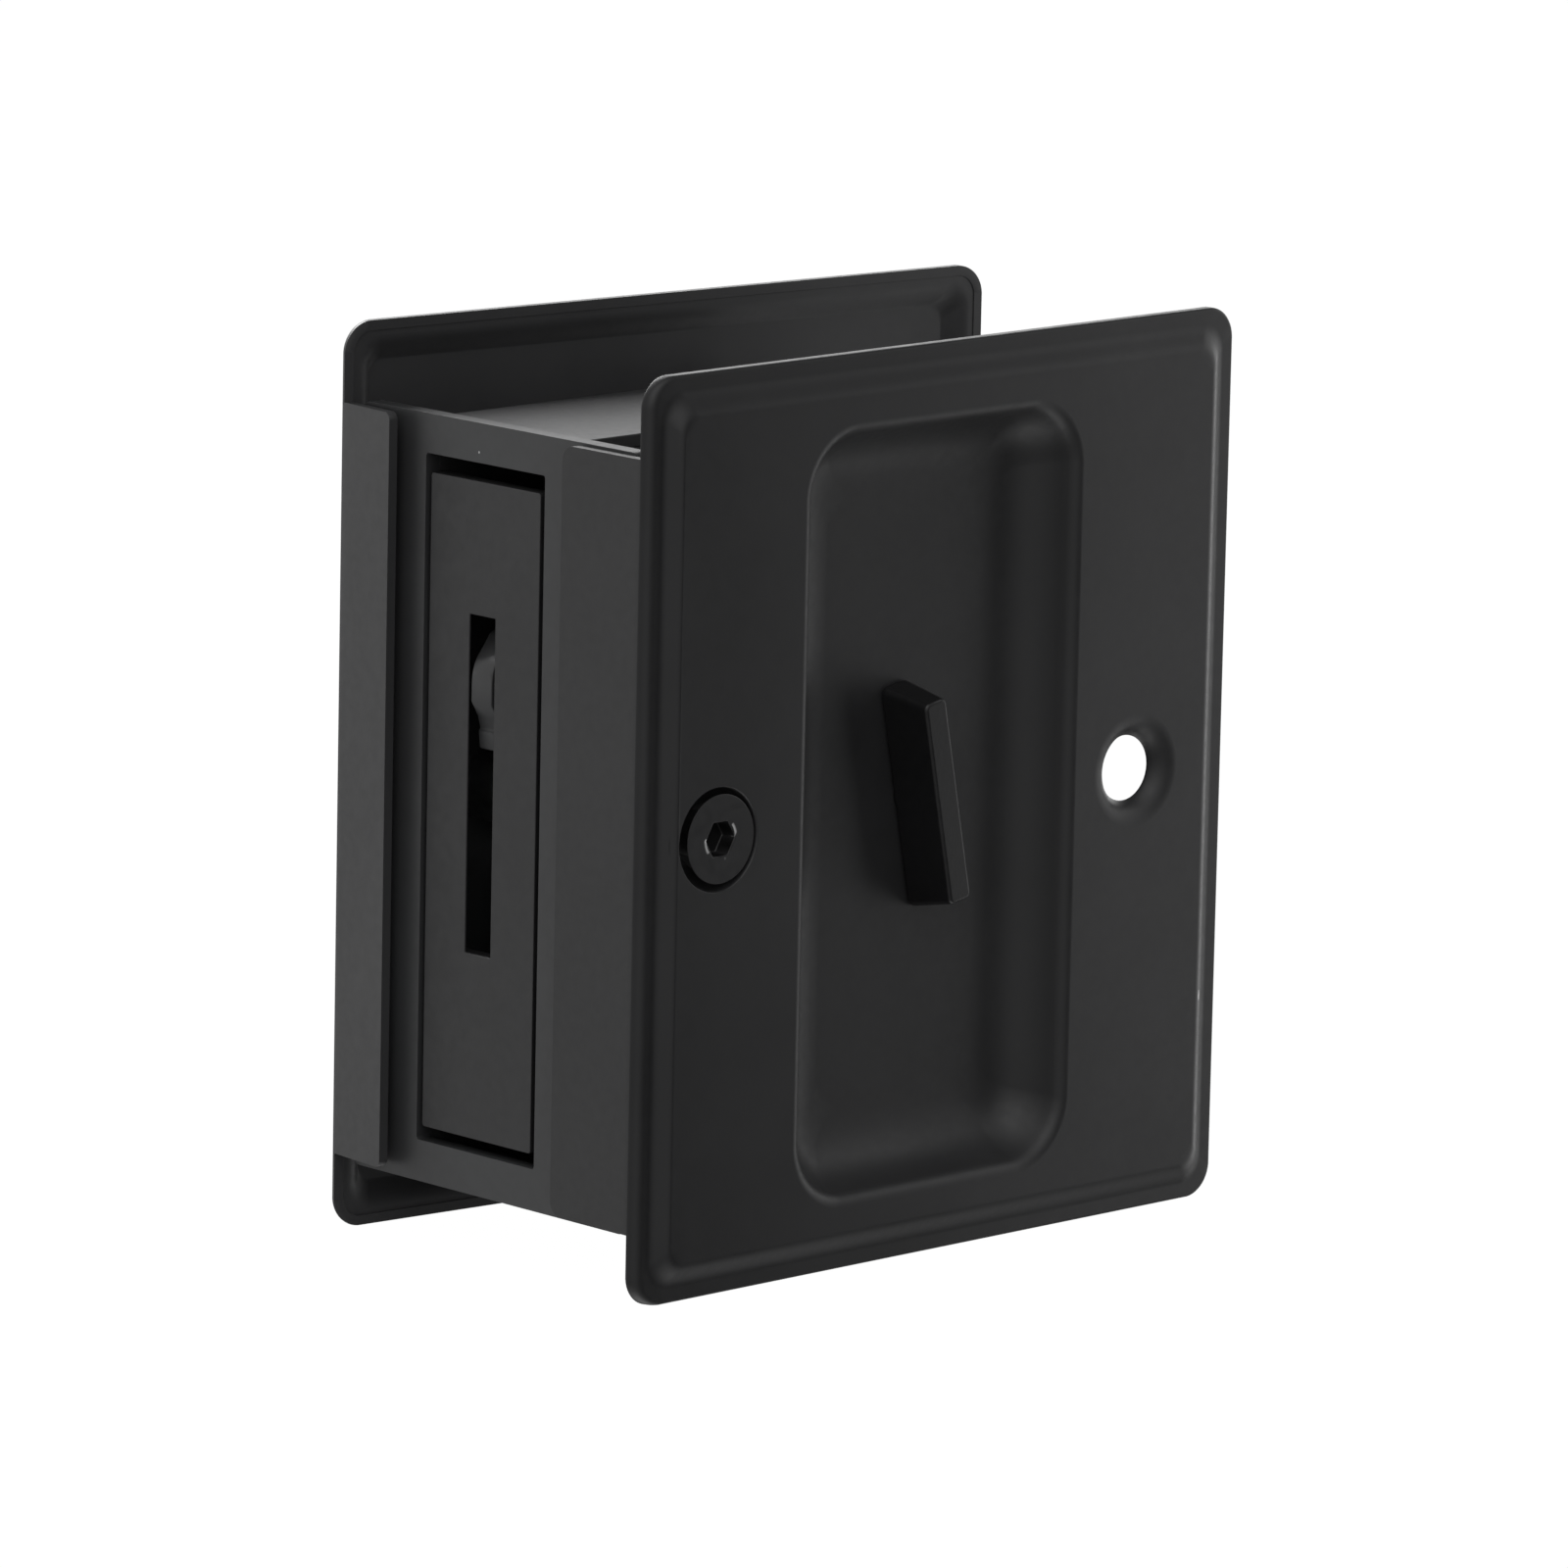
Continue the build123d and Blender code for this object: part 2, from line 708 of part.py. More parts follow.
# Hub: journals in both case sides, a detent cam, a short toothed sector, a square hole
with BuildPart() as hub:
    with BuildSketch(front_plane_at(turn_x, turn_z, case_back + hub_proud)):
        Circle(hub_journal)
    extrude(amount=case_back - case_front + 2 * hub_proud)
    with BuildSketch(front_plane_at(turn_x, turn_z, cheek_back_inner - hub_end_gap)):
        Circle(hub_shoulder)
    extrude(amount=cheek_back_inner - cheek_front_inner - 2 * hub_end_gap)
    with BuildSketch(front_plane_at(turn_x, turn_z, cam_back)):
        RectangleRounded(cam_across_flats, cam_across_flats, cam_corner)
    extrude(amount=cam_back - cam_front)
    with BuildSketch(front_plane_at(turn_x, turn_z, hub_gear_back)):
        with BuildLine():
            hub_rim = hub_pitch_radius - dedendum * tooth_module
            CenterArc((0, 0), hub_rim, hub_sector_start, hub_sector_arc)
            Line(polar(hub_rim, hub_sector_start + hub_sector_arc), (0, 0))
            Line((0, 0), polar(hub_rim, hub_sector_start))
        make_face()
        for k in range(cut_teeth):
            tooth(hub_teeth, 180 + mesh_angle + (k - 0.5) * 360 / hub_teeth)
    extrude(amount=hub_gear_back - hub_gear_front)
    with BuildSketch(front_plane_at(turn_x, turn_z, case_back + hub_proud)):
        Rectangle(
            spindle_across + 2 * spindle_gap,
            spindle_across + 2 * spindle_gap,
            rotation=turn_lean,
        )
    extrude(amount=case_back - case_front + 2 * hub_proud, mode=Mode.SUBTRACT)
save(hub.part, "hub")

# Detent leaf: a bowed strip spring between the rear wall and the hub's cam
leaf_half_height = 13.0
with BuildPart() as detent_spring:
    with BuildSketch(seen_from_front(cam_back - leaf_gap)):
        with BuildLine():
            front_side = Spline(
                (leaf_foot, turn_z + leaf_half_height),
                (leaf_crown, turn_z),
                (leaf_foot, turn_z - leaf_half_height),
                tangents=((0, -1), (0, -1)),
            )
            back_side = Spline(
                (leaf_foot + leaf_sheet, turn_z + leaf_half_height),
                (leaf_crown + leaf_sheet, turn_z),
                (leaf_foot + leaf_sheet, turn_z - leaf_half_height),
                tangents=((0, -1), (0, -1)),
            )
            Line(front_side @ 0, back_side @ 0)
            Line(front_side @ 1, back_side @ 1)
        make_face()
    extrude(amount=cam_back - cam_front - 2 * leaf_gap)
save(detent_spring.part, "detent_spring")

# Thumb turn: a leaning tapered blade on a round neck through the cup's floor
turn_plane = Plane(
    origin=(turn_x, 0, turn_z),
    x_dir=(math.cos(math.radians(turn_lean)), 0, math.sin(math.radians(turn_lean))),
    z_dir=(0, -1, 0),
)
with BuildPart() as turn_blade:
    with BuildSketch(turn_plane.offset(-(cup_floor - turn_floor_gap))):
        RectangleRounded(turn_base_thickness, turn_base_length, turn_base_corner)
    with BuildSketch(turn_plane.offset(turn_face)):
        RectangleRounded(turn_thickness, turn_length, turn_corner)
    loft(ruled=True)
    fillet(turn_blade.faces().sort_by(Axis.Y)[0].edges(), turn_edge)
    with BuildSketch(turn_plane.offset(-(cup_floor - turn_floor_gap))):
        Circle(turn_neck)
    extrude(amount=-(collar_back - cup_floor + turn_floor_gap))
    with BuildSketch(turn_plane.offset(-collar_back)):
        Circle(turn_stud)
    extrude(amount=-turn_stud_length)
save(turn_blade.part, "turn_blade")

with BuildPart() as turn_washer:
    with BuildSketch(turn_plane.offset(-(washer_front + washer_sheet))):
        Circle(washer_radius)
        Circle(turn_neck + fit, mode=Mode.SUBTRACT)
    extrude(amount=washer_sheet)
save(turn_washer.part, "turn_washer")

with BuildPart() as turn_collar:
    with BuildSketch(turn_plane.offset(-collar_back)):
        Circle(collar_radius)
        Circle(turn_neck, mode=Mode.SUBTRACT)
    extrude(amount=collar_height)
    collar_rim = turn_collar.edges().filter_by(GeomType.CIRCLE).group_by(SortBy.RADIUS)[-1]
    chamfer(collar_rim.sort_by(Axis.Y)[-1], edge_break)
save(turn_collar.part, "turn_collar")

# Spindle, bored for the turn's stud, and its slotted tip in the back cover
spindle_back = tip_end - tip_length + tip_engage
with BuildPart() as spindle:
    with BuildSketch(turn_plane.offset(-spindle_back)):
        Rectangle(spindle_across, spindle_across)
    extrude(amount=spindle_back - collar_back)
    chamfer(spindle.edges().filter_by(Axis.Y), edge_break)
    with BuildSketch(turn_plane.offset(-collar_back)):
        Circle(turn_stud)
    extrude(amount=-turn_stud_length, mode=Mode.SUBTRACT)
save(spindle.part, "spindle")

with BuildPart() as release_tip:
    with BuildSketch(turn_plane.offset(-tip_end)):
        Circle(tip_radius)
    extrude(amount=tip_length)
    chamfer(release_tip.faces().sort_by(Axis.Y)[-1].edges(), edge_break)
    with BuildSketch(turn_plane.offset(-tip_end)):
        Rectangle(coin_slot_width, 3 * tip_radius)
    extrude(amount=coin_slot_depth, mode=Mode.SUBTRACT)
    with BuildSketch(turn_plane.offset(-spindle_back)):
        Rectangle(spindle_across, spindle_across)
    extrude(amount=tip_length, mode=Mode.SUBTRACT)
save(release_tip.part, "release_tip")
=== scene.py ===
import math

import bmesh
import bpy
from mathutils import Matrix, Vector


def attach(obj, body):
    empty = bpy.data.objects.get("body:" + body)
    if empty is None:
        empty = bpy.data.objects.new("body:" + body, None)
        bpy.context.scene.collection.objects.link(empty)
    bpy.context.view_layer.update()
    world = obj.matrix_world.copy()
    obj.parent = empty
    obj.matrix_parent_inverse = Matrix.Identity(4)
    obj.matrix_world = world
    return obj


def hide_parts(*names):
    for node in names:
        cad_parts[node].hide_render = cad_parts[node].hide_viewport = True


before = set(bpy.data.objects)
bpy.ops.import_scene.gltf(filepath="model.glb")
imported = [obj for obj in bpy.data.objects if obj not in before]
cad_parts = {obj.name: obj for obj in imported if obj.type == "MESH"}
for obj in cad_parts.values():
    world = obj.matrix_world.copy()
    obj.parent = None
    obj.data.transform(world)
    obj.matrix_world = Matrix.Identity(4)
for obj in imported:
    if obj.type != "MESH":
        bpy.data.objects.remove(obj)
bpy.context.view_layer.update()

# Camera: a long lens from the door's edge side, a little above the lock, rolled a degree as the
# photograph is. The lens is given in pixels of the 1600 pixel square picture.
picture_pixels = 1600
lens_pixels = 11195.2
sensor_mm = 36.0
camera_place = Vector((-0.638513, -0.682587, 0.229677))
camera_right = Vector((0.72335, -0.69018, 0.02058))
camera_down = Vector((-0.11773, -0.15265, -0.98124))
camera_back = camera_right.cross(-camera_down)
camera_data = bpy.data.cameras.new("camera")
camera_data.sensor_width = sensor_mm
camera_data.lens = sensor_mm * lens_pixels / picture_pixels
camera_data.clip_end = 20.0
camera = bpy.data.objects.new("camera", camera_data)
camera.matrix_world = Matrix.Translation(camera_place) @ Matrix(
    (camera_right, -camera_down, camera_back)
).transposed().to_4x4()
bpy.context.scene.collection.objects.link(camera)
bpy.context.scene.camera = camera


# Studio: a plain white sweep that only the camera sees, soft panels far off on all sides, and three
# soft lamps nearer by, which give the flat sheets their slow change from dark to light.
# Each far panel is a soft spot of the surround, given by compass, height, strength and sharpness.
def linear(code):
    out = []
    for i in (1, 3, 5):
        c = int(code[i:i + 2], 16) / 255
        out.append(c / 12.92 if c <= 0.04045 else ((c + 0.055) / 1.055) ** 2.4)
    return (*out, 1.0)


def node(tree, kind, links=None, **settings):
    made = tree.nodes.new(kind)
    for name, value in settings.items():
        if hasattr(made, name):
            setattr(made, name, value)
        else:
            made.inputs[name.replace("_", " ")].default_value = value
    for socket, source in (links or {}).items():
        tree.links.new(source, made.inputs[socket])
    return made


bpy.context.scene.view_settings.view_transform = "Standard"
wide, middling, narrow = 6.0, 14.0, 40.0
panels = [
    (120, 0, 1.09, wide), (180, 0, 0.22, wide), (210, 0, 0.21, wide), (240, 0, 0.28, wide),
    (180, 45, 0.138, wide), (240, 45, 1.324, wide), (300, 45, 0.152, wide), (0, -90, 1.941, wide),
    (0, 90, 0.165, wide), (15, 0, 1.671, narrow), (46, 9, 2.4, middling),
]
world = bpy.data.worlds.new("studio")
bpy.context.scene.world = world
world.use_nodes = True
air = world.node_tree
air.nodes.clear()
ray = node(air, "ShaderNodeTexCoord").outputs["Generated"]
glow = None
for compass, height, strength, sharpness in panels:
    c, h = math.radians(compass), math.radians(height)
    facing = node(air, "ShaderNodeVectorMath", {0: ray}, operation="DOT_PRODUCT")
    facing.inputs[1].default_value = (math.cos(c) * math.cos(h), math.sin(c) * math.cos(h), math.sin(h))
    front = node(air, "ShaderNodeMath", {0: facing.outputs["Value"]}, operation="MAXIMUM")
    front.inputs[1].default_value = 0.0
    lobe = node(air, "ShaderNodeMath", {0: front.outputs[0]}, operation="POWER")
    lobe.inputs[1].default_value = sharpness
    lit = node(air, "ShaderNodeMath", {0: lobe.outputs[0]}, operation="MULTIPLY")
    lit.inputs[1].default_value = strength
    if glow:
        both = node(air, "ShaderNodeMath", {0: glow, 1: lit.outputs[0]}, operation="ADD")
        glow = both.outputs[0]
    else:
        glow = lit.outputs[0]
around = node(air, "ShaderNodeBackground", {"Strength": glow}, Color=linear("#ffffff"))
paper = node(air, "ShaderNodeBackground", Color=linear("#ffffff"), Strength=1.0)
seen = node(air, "ShaderNodeLightPath").outputs["Is Camera Ray"]
surround = node(air, "ShaderNodeMixShader", {0: seen, 1: around.outputs[0], 2: paper.outputs[0]})
node(air, "ShaderNodeOutputWorld", {"Surface": surround.outputs[0]})

# Each near lamp: its place, its width and height in metres, and its power in watts.
near_lamps = [
    ("near_right_card", (0.14, -0.06, 0.05), 0.08, 0.2, 0.034),
    ("right_lamp", (0.40, 0.0, 0.04), 0.2, 0.5, 0.305),
    ("top_back_lamp", (0.05, 0.40, 0.35), 0.4, 0.2, 2.6),
]
lock_middle = Vector((0.036, 0.0, 0.041))
for name, place, lamp_width, lamp_height, power in near_lamps:
    lamp_data = bpy.data.lights.new(name, "AREA")
    lamp_data.shape = "RECTANGLE"
    lamp_data.size = lamp_width
    lamp_data.size_y = lamp_height
    lamp_data.energy = power
    lamp = bpy.data.objects.new(name, lamp_data)
    aim = lock_middle - Vector(place)
    lamp.matrix_world = Matrix.Translation(place) @ aim.to_track_quat("-Z", "Y").to_matrix().to_4x4()
    lamp.visible_camera = False
    bpy.context.scene.collection.objects.link(lamp)

# Matt white board for the floor: it glows evenly, so the eye sees plain white with no shade on it,
# and no light from it reaches the lock.
floor_reach = 3.0
floor_mesh = bpy.data.meshes.new("floor")
bm = bmesh.new()
bmesh.ops.create_grid(bm, x_segments=1, y_segments=1, size=floor_reach)
bm.to_mesh(floor_mesh)
bm.free()
floor = bpy.data.objects.new("floor", floor_mesh)
floor.visible_diffuse = False
floor.visible_glossy = False
floor.visible_shadow = False
bpy.context.scene.collection.objects.link(floor)
floor_finish = bpy.data.materials.new("matt_white_board")
floor_finish.use_nodes = True
board = floor_finish.node_tree.nodes["Principled BSDF"]
board.inputs["Base Color"].default_value = linear("#202020")
board.inputs["Roughness"].default_value = 1.0
board.inputs["Specular IOR Level"].default_value = 0.0
board.inputs["Emission Color"].default_value = linear("#ffffff")
board.inputs["Emission Strength"].default_value = 1.0
floor_finish.cycles.emission_sampling = "NONE"
floor_mesh.materials.append(floor_finish)


# Front cover: one 0.9 mm steel sheet, pressed to a rounded rim that stands on the door, a soft
# shoulder, a flat field and a deep finger cup, with two seats punched for the screws. Its tab is
# folded back over the case's face, and the left screw holds it. All of it is powder coated black.
MM = 0.001
COLOUR_A, COLOUR_B, COLOUR_OUT = 6, 7, 2
dust_mm = 0.9


# Every black coat is built here. Its tone drifts in clouds some 14 mm wide, its gloss changes over
# specks of dust size, 0.9 mm, and a fine bumpy skin breaks the highlights. A noise of scale
# 1000 / mm has cells that many millimetres wide.
def coat(name, dark, light, rough_low, rough_high, peel_mm, peel_height, cloud_mm=14.0):
    made = bpy.data.materials.new(name)
    made.use_nodes = True
    tree = made.node_tree
    skin = tree.nodes["Principled BSDF"]
    point = node(tree, "ShaderNodeTexCoord").outputs["Object"]
    cloud = node(tree, "ShaderNodeTexNoise", {"Vector": point}, Scale=1000 / cloud_mm, Detail=3.0)
    dust = node(tree, "ShaderNodeTexNoise", {"Vector": point}, Scale=1000 / dust_mm, Detail=2.0)
    tone = node(tree, "ShaderNodeMapRange", {"Value": cloud.outputs["Fac"]}, From_Min=0.35, From_Max=0.65)
    mixed = node(tree, "ShaderNodeMix", {"Factor": tone.outputs[0]}, data_type="RGBA")
    mixed.inputs[COLOUR_A].default_value = linear(dark)
    mixed.inputs[COLOUR_B].default_value = linear(light)
    tree.links.new(mixed.outputs[COLOUR_OUT], skin.inputs["Base Color"])
    gloss = node(
        tree, "ShaderNodeMapRange", {"Value": dust.outputs["Fac"]},
        From_Min=0.3, From_Max=0.7, To_Min=rough_low, To_Max=rough_high,
    )
    tree.links.new(gloss.outputs[0], skin.inputs["Roughness"])
    peel = node(tree, "ShaderNodeTexNoise", {"Vector": point}, Scale=1000 / peel_mm, Detail=2.0)
    bump = node(
        tree, "ShaderNodeBump", {"Height": peel.outputs["Fac"]},
        Strength=0.35, Distance=peel_height,
    )
    tree.links.new(bump.outputs[0], skin.inputs["Normal"])
    skin.inputs["IOR"].default_value = 1.5
    return made


# A small mark in its own colour, all within reach of a place, both in millimetres: where the coat is off,
# and painted shade where it darkens the screw's socket.
# With hollow it is a ring, with patchy it is broken into pieces about 2 mm across, and metallic bares the
# steel.
def chip_and_shade(material, place, reach, spot_colour, metallic=0.0, patchy=0.0, hollow=0.0):
    patches_per_metre = 520.0
    tree = material.node_tree
    skin = tree.nodes["Principled BSDF"]
    point = node(tree, "ShaderNodeTexCoord").outputs["Object"]
    away = node(tree, "ShaderNodeVectorMath", {0: point}, operation="SUBTRACT")
    away.inputs[1].default_value = [v * MM for v in place]
    sized = node(tree, "ShaderNodeVectorMath", {0: away.outputs[0]}, operation="DIVIDE")
    sized.inputs[1].default_value = [v * MM for v in reach]
    length = node(tree, "ShaderNodeVectorMath", {0: sized.outputs[0]}, operation="LENGTH")
    far = length.outputs["Value"]
    inside = node(tree, "ShaderNodeMapRange", {"Value": far}, From_Min=1.0, From_Max=0.9)
    outside = node(tree, "ShaderNodeMapRange", {"Value": far}, From_Min=hollow, From_Max=hollow + 0.03)
    both = node(tree, "ShaderNodeMath", {0: inside.outputs[0], 1: outside.outputs[0]}, operation="MULTIPLY")
    patch_noise = node(tree, "ShaderNodeTexNoise", {"Vector": point}, Scale=patches_per_metre, Detail=1.0)
    kept = node(
        tree, "ShaderNodeMapRange", {"Value": patch_noise.outputs["Fac"]},
        From_Min=patchy, From_Max=patchy + 0.05,
    )
    mask = node(tree, "ShaderNodeMath", {0: both.outputs[0], 1: kept.outputs[0]}, operation="MULTIPLY")
    base = skin.inputs["Base Color"]
    under = base.links[0].from_socket
    mixed = node(tree, "ShaderNodeMix", {"Factor": mask.outputs[0], COLOUR_A: under}, data_type="RGBA")
    mixed.inputs[COLOUR_B].default_value = linear(spot_colour)
    tree.links.new(mixed.outputs[COLOUR_OUT], base)
    if metallic:
        tree.links.new(mask.outputs[0], skin.inputs["Metallic"])


# Powder coat on steel, a sprayed and baked resin: it hides the sheet's grain, so the eye gets an
# even satin black with wide soft highlights. Its skin is bumpy over 0.35 mm, as the real one is.
# The one bare nick is on the right rim.
powder_coat = coat(
    "powder_coated_steel", "#212122", "#262627",
    rough_low=0.40, rough_high=0.47, peel_mm=0.35, peel_height=0.000012,
)
chip_and_shade(powder_coat, (69.3, -2.2, 19.2), (0.14, 1.0, 0.55), "#e8e8e8")

cover_width = 72.4
cover_height = 82.55
cover_corner = 2.9
inner_corner = 1.9
corner_shrink = 0.3
sheet = 0.9
sheared_edge = 0.18
field_depth = 2.2
corner_steps = 12
rim_steps = 8
bend_radius = 1.1
bend_low = -0.1
edge_radius = 0.28
land_depth = bend_low + bend_radius
slope_steps = 12
slope_start = 1.3
slope_run = 2.5
fold_start = 1.4
fold_run = 1.95
fold_ease = 0.75
fold_margin = 0.5
seat_steps = 64
hole_steps = 48
cup_foot_corner = 2.6
cup_corner_shrink = 0.8
tab_lead = 0.5
tab_corner_steps = 6
tab_corner_share = 0.98


# The rim and shoulder from outside in. Each row gives how far in it lies, how much further in it
# lies along the fold, where the sheet bends round into the tab, and its depth.
def rim_rows():
    rows = []
    for k in range(rim_steps + 1):
        depth = max(0.0, bend_low + bend_radius * math.sin(math.radians(90 * k / rim_steps)))
        over = depth - (land_depth - edge_radius)
        inset = edge_radius - math.sqrt(edge_radius**2 - over**2) if over > 0 else 0.0
        fold = bend_radius - math.sqrt(max(0.0, bend_radius**2 - (depth - bend_low) ** 2))
        rows.append((inset, fold if k else 0.0, depth))
    for k in range(slope_steps + 1):
        t = k / slope_steps
        rise = t * t * (3 - 2 * t)
        depth = land_depth + (field_depth - land_depth) * rise
        rows.append((slope_start + slope_run * t, fold_start + fold_run * t**fold_ease, depth))
    return rows


def add_piece(name, bm, material, body, replaced, place=Matrix.Identity(4)):
    bm.transform(place @ Matrix.Scale(MM, 4))
    mesh = bpy.data.meshes.new(name)
    bm.to_mesh(mesh)
    bm.free()
    mesh.polygons.foreach_set("use_smooth", [True] * len(mesh.polygons))
    mesh.materials.append(material)
    piece = bpy.data.objects.new(name, mesh)
    bpy.context.scene.collection.objects.link(piece)
    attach(piece, body)
    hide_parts(*replaced)
    return piece


def crisp(piece, angle):
    piece.data.set_sharp_from_angle(angle=math.radians(angle))
    even = piece.modifiers.new("even_shading", "WEIGHTED_NORMAL")
    even.keep_sharp = True
    even.weight = 80
    return piece


# A loop of a cover starts as a circle. Each vertex keeps its angle in the layer turn, and is laid
# on any rounded rectangle or circle from that. Loops are listed in order, the same in each run.
def ring(bm, turn, segments):
    made = bmesh.ops.create_circle(bm, segments=segments, radius=1.0)["verts"]
    bmesh.ops.rotate(bm, verts=made, cent=(0, 0, 0), matrix=Matrix.Rotation(math.pi / segments, 3, "Z"))
    for v in made:
        v[turn] = math.atan2(v.co.y, v.co.x)
    return list(dict.fromkeys(e for v in made for e in v.link_edges))


def corners_of(edges):
    return list(dict.fromkeys(v for e in edges for v in e.verts))


def lay_rounded(edges, turn, run, width, height, radius, depth, across=0.0):
    for v in corners_of(edges):
        c, s = math.cos(v[turn]), math.sin(v[turn])
        x = across + math.copysign(width / 2 - radius, c) + radius * c
        y = math.copysign(height / 2 - radius, s) + radius * s
        if v[run]:
            reach = height / 2 - radius - fold_margin
            x, y = across - width / 2, max(-reach, min(reach, v[run]))
        v.co = (x, y, depth)


def lay_round(edges, turn, centre, radius, depth):
    for v in corners_of(edges):
        v.co = (centre + radius * math.cos(v[turn]), radius * math.sin(v[turn]), depth)


def next_loop(bm, edges):
    made = bmesh.ops.extrude_edge_only(bm, edges=edges)["geom"]
    fresh = {g for g in made if isinstance(g, bmesh.types.BMVert)}
    made_edges = [g for g in made if isinstance(g, bmesh.types.BMEdge)]
    return [e for e in made_edges if e.verts[0] in fresh and e.verts[1] in fresh]


# The faces are put in a fixed order by their middles, to a micron, so that each run gives one mesh.
def face_rank(face):
    microns_wide = 200000.0
    x, y, z = (round(c / MM) for c in face.calc_center_median())
    return (x * microns_wide + y) * microns_wide + z


# The sheet's outer face, drawn inwards loop by loop from the rim. The two ends of the fold are cut
# into the left edge, and keep their height in the layer run. Seats, cup and centre hole come next,
# the flat field is filled between them, and the tab is extruded back from the fold.
def pressed_cover(seats, tip_hole, cup, tab):
    bm = bmesh.new()
    turn = bm.verts.layers.float.new("turn")
    run = bm.verts.layers.float.new("run")
    rim = ring(bm, turn, 4 * corner_steps)
    left = min(rim, key=lambda e: e.verts[0].co.x + e.verts[1].co.x)
    cut = bmesh.ops.subdivide_edges(bm, edges=[left], cuts=2)["geom_inner"]
    fresh = sorted([g for g in cut if isinstance(g, bmesh.types.BMVert)], key=lambda v: v.co.y)
    fresh[0][run] = tab["centre"] - tab["height"] / 2
    fresh[1][run] = tab["centre"] + tab["height"] / 2
    rim = list(bm.edges)
    lay_rounded(rim, turn, run, cover_width, cover_height, cover_corner, 0.0)
    fold = [e for e in rim if e.verts[0][run] and e.verts[1][run]]
    loop = rim
    for inset, folded, depth in rim_rows()[1:]:
        loop = next_loop(bm, loop)
        radius = max(inner_corner, cover_corner - corner_shrink * inset)
        lay_rounded(
            loop, turn, run, cover_width - inset - folded, cover_height - 2 * inset, radius, depth,
            (folded - inset) / 2,
        )
    field_edges = list(loop)
    for centre, profile in seats:
        loop = ring(bm, turn, seat_steps)
        lay_round(loop, turn, centre - cover_width / 2, *profile[0])
        field_edges += loop
        for radius, depth in profile[1:]:
            loop = next_loop(bm, loop)
            lay_round(loop, turn, centre - cover_width / 2, radius, depth)
    if cup:
        middle_x = cup["centre"] - cover_width / 2
        loop = ring(bm, turn, 4 * corner_steps)
        first = cup["profile"][0]
        lay_rounded(
            loop, turn, run, cup["width"] - 2 * first[0], cup["height"] - 2 * first[0],
            cup["corner"] - first[0], first[1], middle_x,
        )
        field_edges += loop
        for inset, depth in cup["profile"][1:]:
            loop = next_loop(bm, loop)
            lay_rounded(
                loop, turn, run, cup["width"] - 2 * inset, cup["height"] - 2 * inset,
                max(cup_foot_corner, cup["corner"] - cup_corner_shrink * inset), depth, middle_x,
            )
        floor_edges = list(loop)
        hole = ring(bm, turn, hole_steps)
        lay_round(hole, turn, tip_hole[0] - cover_width / 2, tip_hole[1], cup["profile"][-1][1])
        bmesh.ops.triangle_fill(bm, use_beauty=True, edges=floor_edges + hole)
    else:
        hole = ring(bm, turn, hole_steps)
        lay_round(hole, turn, tip_hole[0] - cover_width / 2, tip_hole[1], field_depth)
        field_edges += hole
    bmesh.ops.triangle_fill(bm, use_beauty=True, edges=field_edges)
    edge = fold
    for drop in (-tab_lead, tab["corner"] - tab["depth"], -tab["depth"]):
        edge = next_loop(bm, edge)
        for v in corners_of(edge):
            v.co.z = drop
    bmesh.ops.bevel(
        bm, geom=corners_of(edge), offset=tab["corner"] * tab_corner_share,
        segments=tab_corner_steps, profile=0.5, affect="VERTICES", material=-1,
    )
    bmesh.ops.recalc_face_normals(bm, faces=bm.faces)
    if sum(f.normal.z * f.calc_area() for f in bm.faces) < 0:
        bmesh.ops.reverse_faces(bm, faces=bm.faces)
    bm.faces.sort(key=face_rank)
    return bm


def sheet_thickness(piece):
    wall = piece.modifiers.new("sheet", "SOLIDIFY")
    wall.thickness = sheet * MM
    wall.offset = -1.0
    wall.use_even_offset = True
    edge = piece.modifiers.new("sheared_edge", "BEVEL")
    edge.width = sheared_edge * MM
    edge.segments = 2
    edge.limit_method = "ANGLE"
    edge.angle_limit = math.radians(50)
    crisp(piece, 40)


# Seats from the field in, as radius and depth: the deep one takes the screw's head, and the open
# one is a shallow dish round its hole. The cup's wall is given as distance in from its lip, and depth.
screw_seat = [
    (4.75, 2.2), (4.71, 2.17), (4.65, 2.09), (4.61, 1.96), (4.58, 1.7), (4.52, 1.3), (4.2, 0.98),
    (3.8, 0.7), (3.4, 0.45), (3.0, 0.2),
]
open_seat = [
    (5.3, 2.2), (5.0, 2.18), (4.7, 2.12), (4.4, 2.02), (4.1, 1.87), (3.8, 1.67), (3.5, 1.4),
    (3.25, 1.08), (3.08, 0.8), (3.0, 0.6),
]
cup_form = {
    "centre": 35.15, "width": 34.5, "height": 70.8, "corner": 6.6,
    "profile": [
        (0.0, 2.2), (0.22, 2.18), (0.44, 2.11), (0.66, 1.99), (0.86, 1.82), (1.04, 1.6), (1.2, 1.33),
        (1.42, 0.88), (1.7, 0.35), (2.1, -0.3), (2.6, -0.95), (3.2, -1.55), (3.9, -2.06),
        (4.7, -2.46), (5.6, -2.75), (6.6, -2.93), (7.8, -3.0),
    ],
}
turn_x = 36.2
neck_hole = (turn_x, 1.7)
front_tab = {"centre": -0.275, "height": 68.8, "depth": 9.9, "corner": 1.4}
half_width = cover_width / 2 * MM
half_height = cover_height / 2 * MM
front_cover = add_piece(
    "front_cover_pressing",
    pressed_cover([(8.15, screw_seat), (60.0, open_seat)], neck_hole, cup_form, front_tab),
    powder_coat, "lock", ["front_cover"],
    Matrix(((1, 0, 0, half_width), (0, 0, -1, 0), (0, 1, 0, half_height), (0, 0, 0, 1))),
)
sheet_thickness(front_cover)
